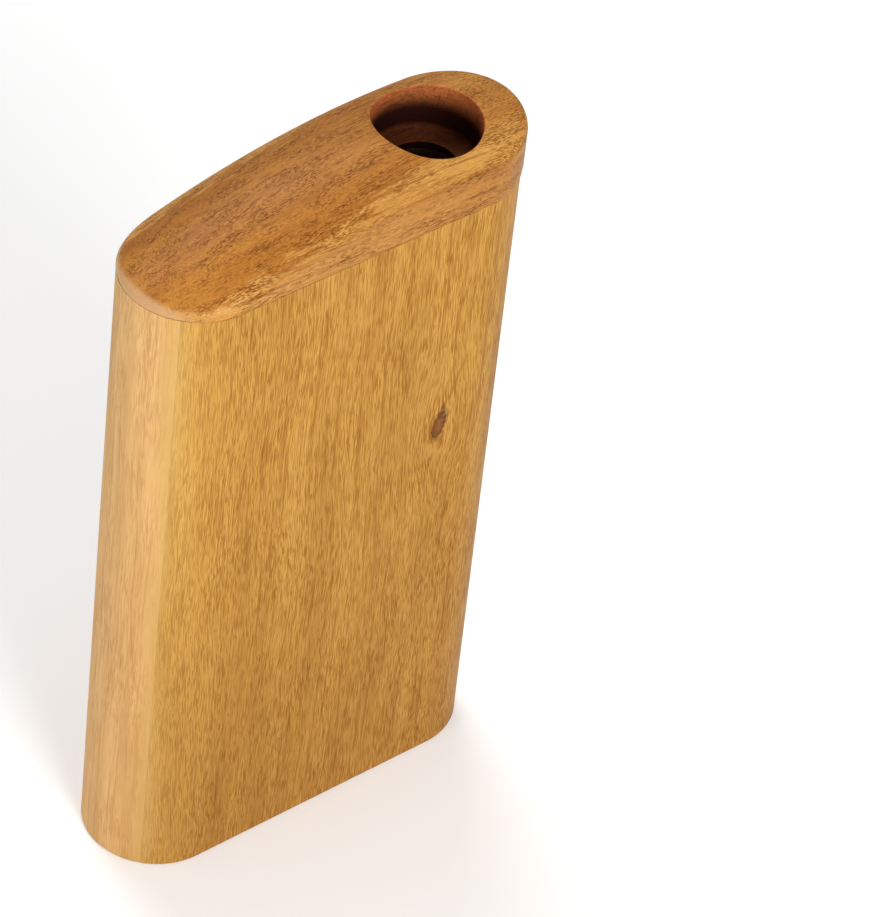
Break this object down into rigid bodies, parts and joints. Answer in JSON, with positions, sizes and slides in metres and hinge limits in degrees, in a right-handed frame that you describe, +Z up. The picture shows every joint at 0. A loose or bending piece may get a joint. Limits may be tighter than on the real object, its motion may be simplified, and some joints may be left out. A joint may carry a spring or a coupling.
{
  "type": "travel didgeridoo",
  "caption": "Compact wooden didgeridoo: a flat block with half-round ends, an arched cap with a round mouth hole, and a folded air channel inside that opens under the base.",
  "frame": {"origin": "middle of the underside of the base", "axes": "+Z up from the base to the arched cap, +X along the wide side towards the mouth hole, -Y the front board's outward face"},
  "size_m": [0.1306, 0.0442, 0.2355],
  "materials": {
    "board_wood": "golden hardwood with fine upright pores, sanded and oiled",
    "end_wood": "paler, pinkish hardwood, sanded and oiled",
    "cap_wood": "reddish brown hardwood with the grain along the cap, sanded and oiled",
    "core_wood": "plain dark core wood, unpolished"
  },
  "bodies": {
    "root": {"front_board": "board_wood", "back_board": "board_wood", "outlet_end_block": "end_wood", "mouth_end_block": "end_wood", "base": "end_wood", "partition_1": "core_wood", "partition_2": "core_wood", "partition_3": "core_wood", "partition_4": "core_wood", "throat_block": "core_wood", "top_cap": "cap_wood"}
  },
  "joints": []
}
